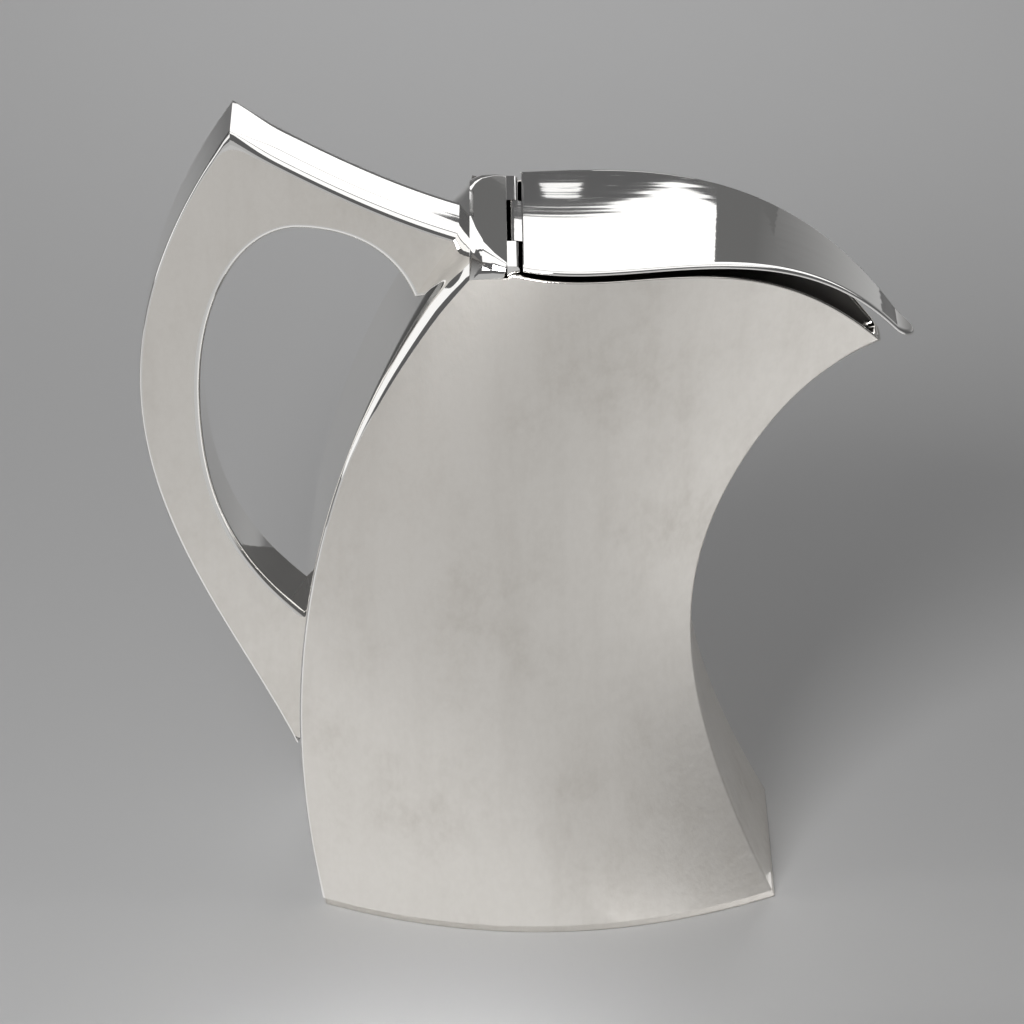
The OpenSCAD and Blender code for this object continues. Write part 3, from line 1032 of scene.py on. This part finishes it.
@dataclass
class Hinge:
    """Three-knuckle hinge on one pin, flush with the deck and the lid."""

    finishes: Finishes
    pin_x: float = -10.4
    pin_z: float = 205.9
    barrel_d: float = 3.6
    pin_d: float = 1.6
    half_length: float = 30.5
    centre_length: float = 27.0
    gap: float = 0.4
    deck_x: float = -12.6
    lid_x: float = -8.2
    flush_half: float = 1.25
    corner_round: float = 0.35
    leaf_run: float = 3.0
    leaf_drop: float = 0.6
    pin_proud: float = 0.05
    sharp_deg: float = 35.0

    def profile(self, leaf_to: float, leaf_top: float,
                leaf_low: float) -> list[tuple[float, float]]:
        """Section of a knuckle: flush on top, round below, and flat into its leaf.

        Args:
            leaf_to: Where the leaf ends, along X.
            leaf_top: Height of the leaf's upper face at its end.
            leaf_low: Height of its lower face.

        Returns:
            Closed outline about the pin, as x and z.
        """
        r, side = self.barrel_d / 2, self.flush_half
        toward = 1 if leaf_to > self.pin_x else -1
        away, soft = self.pin_x - toward * side, self.corner_round
        top, low = self.pin_z + r, self.pin_z - side
        turn = np.linspace(0, math.pi / 2, 6)
        crown = [(away + toward * soft * (1 - math.sin(a)), top - soft * (1 - math.cos(a)))
                 for a in turn]
        belly = [(self.pin_x - toward * side * math.cos(a), self.pin_z - side * math.sin(a))
                 for a in np.linspace(0, math.pi / 2, 12)]
        return crown + belly + [(leaf_to, max(low, leaf_low)), (leaf_to, leaf_top)]

    def sweep_tree(self) -> bpy.types.GeometryNodeTree:
        """Node tree that sweeps an outline along the hinge line."""
        tree = bpy.data.node_groups.new("hinge_sweep", "GeometryNodeTree")
        face = tree.interface
        face.new_socket("Geometry", in_out="INPUT", socket_type="NodeSocketGeometry")
        for name in ("From", "To"):
            face.new_socket(name, in_out="INPUT", socket_type="NodeSocketVector")
        face.new_socket("Finish", in_out="INPUT", socket_type="NodeSocketMaterial")
        face.new_socket("Geometry", in_out="OUTPUT", socket_type="NodeSocketGeometry")
        n = Nodes(tree)
        source = tree.nodes.new("NodeGroupInput")
        given = {s.name: Term(n, s) for s in source.outputs if s.name}
        line = n.add("GeometryNodeCurvePrimitiveLine", {"mode": "POINTS"},
                     {"Start": given["From"], "End": given["To"]}, output="Curve")
        line = n.add("GeometryNodeResampleCurve", None, {"Curve": line, "Count": 120}, "Curve")
        outline = n.add("GeometryNodeMeshToCurve", None, {"Mesh": given["Geometry"]}, "Curve")
        swept = n.add("GeometryNodeCurveToMesh", None,
                      {"Curve": line, "Profile Curve": outline, "Fill Caps": True}, "Mesh")
        solid = n.add("GeometryNodeRealizeInstances", None, {0: swept})
        coated = n.add("GeometryNodeSetMaterial", None, {0: solid, "Material": given["Finish"]})
        n.add("NodeGroupOutput", None, {0: coated})
        return tree

    def swept(self, name: str, tree: bpy.types.GeometryNodeTree, outline: list[tuple[float, float]],
              y_from: float, y_to: float) -> bpy.types.Object:
        """Run the node tree on an outline and keep the result as a plain mesh.

        Args:
            name: Piece name.
            tree: The sweeping node tree.
            outline: Closed section as x and z.
            y_from: Where the piece begins along Y.
            y_to: Where it ends.

        Returns:
            The piece, at the origin.
        """
        mesh = bpy.data.meshes.new(name)
        flat = [((x - self.pin_x) * MM, (z - self.pin_z) * MM, 0.0) for x, z in outline]
        edges = [(k, (k + 1) % len(flat)) for k in range(len(flat))]
        mesh.from_pydata(flat, edges, [])
        piece = linked(name, mesh)
        modifier = piece.modifiers.new("Sweep", "NODES")
        modifier.node_group = tree
        ids = {s.name: s.identifier for s in tree.interface.items_tree
               if s.item_type == "SOCKET" and s.in_out == "INPUT"}
        modifier[ids["From"]] = (self.pin_x * MM, y_from * MM, self.pin_z * MM)
        modifier[ids["To"]] = (self.pin_x * MM, y_to * MM, self.pin_z * MM)
        modifier[ids["Finish"]] = self.finishes.materials[Coat.POLISHED]
        bpy.context.view_layer.update()
        evaluated = piece.evaluated_get(bpy.context.evaluated_depsgraph_get())
        done = bpy.data.meshes.new_from_object(evaluated)
        piece.modifiers.remove(modifier)
        piece.data = done
        clean(done, self.sharp_deg)
        return piece

    def build(self) -> list[bpy.types.Object]:
        """Build the knuckles and the pin."""
        tree = self.sweep_tree()
        r = self.barrel_d / 2
        top, low = self.pin_z + r, self.pin_z - r + 0.5
        fixed = self.profile(self.deck_x, top, low)
        moving = self.profile(self.lid_x + self.leaf_run, top + 0.1, self.pin_z - self.leaf_drop)
        span = (2 * self.half_length - self.centre_length) / 2 - self.gap
        turn = np.linspace(0, 2 * math.pi, 24, endpoint=False)
        ring = self.pin_d / 2 * np.stack([np.cos(turn), np.sin(turn)], axis=1)
        pin = [(self.pin_x + x, self.pin_z + z) for x, z in ring.tolist()]
        end, half = self.half_length, self.centre_length / 2
        plan = [("right_knuckle", "hinge_knuckle_right", fixed, -end, -end + span, Body.PITCHER),
                ("left_knuckle", "hinge_knuckle_left", fixed, end - span, end, Body.PITCHER),
                ("centre_knuckle", "lid_knuckle", moving, -half, half, Body.LID),
                ("pin", "hinge_pin", pin, -end - self.pin_proud, end + self.pin_proud,
                 Body.PITCHER)]
        made = []
        for name, node, outline, y_from, y_to, body in plan:
            piece = self.swept(name, tree, outline, y_from, y_to)
            made.append(self.finishes.dress(piece, Coat.POLISHED, body, node))
        return made


# ---- studio ----


@dataclass(frozen=True)
class Card:
    """Flat lit card or softbox, given by its corners and its light.

    A card with a far strength fades to it along one axis.
    """

    name: str
    corners: tuple[Triple, ...]
    strength: float
    far_strength: Optional[float] = None
    fade_axis: str = "Z"

    @classmethod
    def upright(cls, name: str, y: float, outline: tuple, *light: Any) -> "Card":
        """Card that stands across the view.

        Args:
            name: Its name.
            y: Where it stands.
            outline: Corners as x and z.
            light: Its strength, then its far strength and fading axis.

        Returns:
            The card.
        """
        return cls(name, tuple((x, y, z) for x, z in outline), *light)

    @classmethod
    def flat(cls, name: str, z: float, x_span: tuple, y_span: tuple, strength: float) -> "Card":
        """Level card over a rectangle of X and Y."""
        (x0, x1), (y0, y1) = x_span, y_span
        return cls(name, ((x0, y0, z), (x1, y0, z), (x1, y1, z), (x0, y1, z)), strength)

    def surface(self, n: Nodes) -> dict[str, Any]:
        """Inputs of a surface that only glows."""
        tone: Any = (self.strength, self.strength, self.strength, 1.0)
        if self.far_strength is not None:
            along = [corner["XYZ".index(self.fade_axis)] for corner in self.corners]
            low, high = min(along), max(along)
            at = n.add("ShaderNodeTexCoord", output="Object")
            place = n.add("ShaderNodeSeparateXYZ", None, {0: at}, output=self.fade_axis)
            far = (self.far_strength, self.far_strength, self.far_strength, 1.0)
            tone = n.mixed((place - low) * (1 / (high - low)), tone, far)
        return {"Base Color": (0.0, 0.0, 0.0, 1.0), "Specular IOR Level": 0.0,
                "Emission Color": tone, "Emission Strength": 1.0}

    def build(self) -> bpy.types.Object:
        """Make the card as a stage object that only shows in reflections."""
        mesh = bpy.data.meshes.new(self.name)
        mesh.from_pydata(self.corners, [], [tuple(range(len(self.corners)))])
        mesh.materials.append(new_material(f"{self.name}_face", self.surface))
        card = linked(self.name, mesh)
        card.visible_camera = card.visible_diffuse = card.visible_shadow = False
        return card


@dataclass(frozen=True)
class Lamp:
    """Square soft lamp that lights the paper and the pitcher."""

    name: str
    place: Triple
    aim: Triple
    side: float
    power: float
    mirrored: bool
    spread_deg: float = 180.0

    def build(self) -> bpy.types.Object:
        """Make the lamp as a stage object."""
        data = bpy.data.lights.new(self.name, "AREA")
        data.shape, data.size, data.energy = "SQUARE", self.side, self.power
        data.spread = math.radians(self.spread_deg)
        lamp = linked(self.name, data)
        lamp.location = self.place
        toward = Vector(self.aim) - Vector(self.place)
        lamp.rotation_euler = toward.to_track_quat("-Z", "Y").to_euler()
        lamp.visible_camera, lamp.visible_glossy = False, self.mirrored
        return lamp


@dataclass
class Studio:
    """Floor with a swept-up backdrop, softboxes, world light and camera."""

    half_width: float = 2.6
    front_y: float = -3.2
    bend_y: float = 1.1
    bend_radius: float = 0.5
    top_z: float = 0.8
    world_grey: float = 0.11
    lens_mm: float = 187.7
    camera_elevation_deg: float = 28.0
    camera_azimuth_deg: float = -0.425
    camera_distance: float = 1.56122
    target: Triple = (-0.01108, 0.0, 0.11325)
    sensor_mm: float = 36.0
    paper: Colour = (0.60, 0.60, 0.60, 1.0)
    cards: tuple[Card, ...] = (
        Card.upright("rear_softbox", 0.30, (
            (0.100, 0.329), (0.060, 0.331), (0.017, 0.343), (-0.05, 0.352), (-1.3, 0.60),
            (-1.3, 1.4), (1.1, 1.4), (1.1, 0.42), (0.100, 0.40)), 1.25),
        Card.upright("dark_flag", 0.299, (
            (0.081, 0.24), (0.165, 0.24), (0.165, 0.39), (0.100, 0.39), (0.100, 0.327),
            (0.081, 0.325)), 0.14),
        Card.upright("handle_card", 0.30, (
            (0.015, 0.275), (0.075, 0.275), (0.080, 0.322), (0.015, 0.322)), 1.25),
        Card.flat("overhead_softbox", 1.7, (-1.1, 1.7), (-0.95, 0.22), 1.1),
        Card.upright("front_card", -1.8, (
            (-1.6, 0.0), (1.6, 0.0), (1.6, 0.55), (-1.6, 0.55)), 0.45),
        Card("left_card", ((-1.5, 0.28, 0.0), (-1.2, -0.6, 0.0), (-1.2, -0.6, 0.7),
                           (-1.5, 0.28, 0.7)), 1.0),
        Card.flat("front_fill_card", 0.002, (-2.5, 1.6), (-0.20, -1.79), 0.52),
        Card.flat("near_fill_card", 0.002, (-0.7, 0.02), (-0.03, -0.20), 0.74),
        Card.flat("right_fill_card", 0.002, (0.02, 0.8), (-0.09, -0.20), 0.62),
        Card.flat("corner_fill_card", 0.002, (0.02, 0.3), (-0.02, -0.09), 0.95),
        Card.upright("far_glint", 0.2995, (
            (0.006, 0.332), (0.0115, 0.333), (0.0105, 0.337), (0.005, 0.338)), 1.1),
        Card.upright("flag_edge", 0.298, (
            (0.145, 0.30), (0.205, 0.30), (0.205, 0.36), (0.145, 0.36)), 0.14, 0.23, "X"),
        Card.upright("backdrop_glow", 1.05, (
            (0.30, 0.05), (2.0, 0.05), (2.0, 0.70), (0.30, 0.70)), 0.43, 0.10),
    )
    lamps: tuple[Lamp, ...] = (
        Lamp("bounce_lamp", (-0.10, -0.55, 0.90), (-0.035, -0.17, 0.0), 0.10, 0.045, False, 11.0),
        Lamp("front_lamp", (-0.30, -0.60, 0.62), (0.0, 0.0, 0.05), 0.30, 3.9, True),
        Lamp("rear_lamp", (-0.02, 0.80, 0.65), (0.05, 0.55, 0.0), 0.40, 2.2, False),
    )

    def floor(self) -> bpy.types.Object:
        """Sheet of paper that lies flat and sweeps up behind."""
        angles = np.linspace(0, math.pi / 2, 17)
        line = [(self.front_y, 0.0), (0.0, 0.0)]
        line += [(self.bend_y + self.bend_radius * math.sin(a),
                  self.bend_radius * (1 - math.cos(a))) for a in angles]
        line.append((self.bend_y + self.bend_radius, self.top_z))
        points = [(x, y, z) for y, z in line for x in (-self.half_width, self.half_width)]
        faces = [(2 * k, 2 * k + 1, 2 * k + 3, 2 * k + 2) for k in range(len(line) - 1)]
        mesh = bpy.data.meshes.new("backdrop")
        mesh.from_pydata(points, [], faces)
        mesh.materials.append(new_material("backdrop_paper", lambda n: {
            "Base Color": self.paper, "Roughness": 0.9, "Specular IOR Level": 0.2}))
        mesh.shade_smooth()
        sheet = linked("backdrop", mesh)
        return sheet

    def world(self) -> None:
        """Even grey light from all round."""
        world = bpy.data.worlds.new("studio_room")
        world.use_nodes = True
        n = Nodes(world.node_tree)
        g = self.world_grey
        room = n.add("ShaderNodeBackground", None,
                     {"Color": (g, g, g * 1.02, 1.0), "Strength": 1.0})
        n.add("ShaderNodeOutputWorld", None, {"Surface": room})
        bpy.context.scene.world = world

    def camera(self) -> None:
        """Camera in front of the right side, looking down on the pitcher."""
        e, a = math.radians(self.camera_elevation_deg), math.radians(self.camera_azimuth_deg)
        away = Vector((math.sin(a) * math.cos(e), -math.cos(a) * math.cos(e), math.sin(e)))
        data = bpy.data.cameras.new("camera")
        data.lens, data.sensor_width = self.lens_mm, self.sensor_mm
        data.clip_end = 50.0
        camera = linked("camera", data)
        camera.location = Vector(self.target) + away * self.camera_distance
        camera.rotation_euler = (-away).to_track_quat("-Z", "Y").to_euler()
        bpy.context.scene.camera = camera

    def build(self) -> None:
        """Set up the whole studio."""
        self.floor()
        for item in (*self.cards, *self.lamps):
            item.build()
            LOG.info("stage: %s", item.name)
        self.world()
        self.camera()
        bpy.context.scene.view_settings.view_transform = "Standard"


def main() -> None:
    """Build the pitcher and the studio in order."""
    logging.basicConfig(level=logging.INFO, format="%(name)s: %(message)s")
    finishes = Finishes()
    body = PitcherBody(finishes)
    pieces = body.build()
    pieces += Handle(finishes, body).build()
    pieces += Lid(finishes).build()
    pieces += Hinge(finishes).build()
    LOG.info("%d pieces", len(pieces))
    Studio().build()


if __name__ == "__main__":
    main()
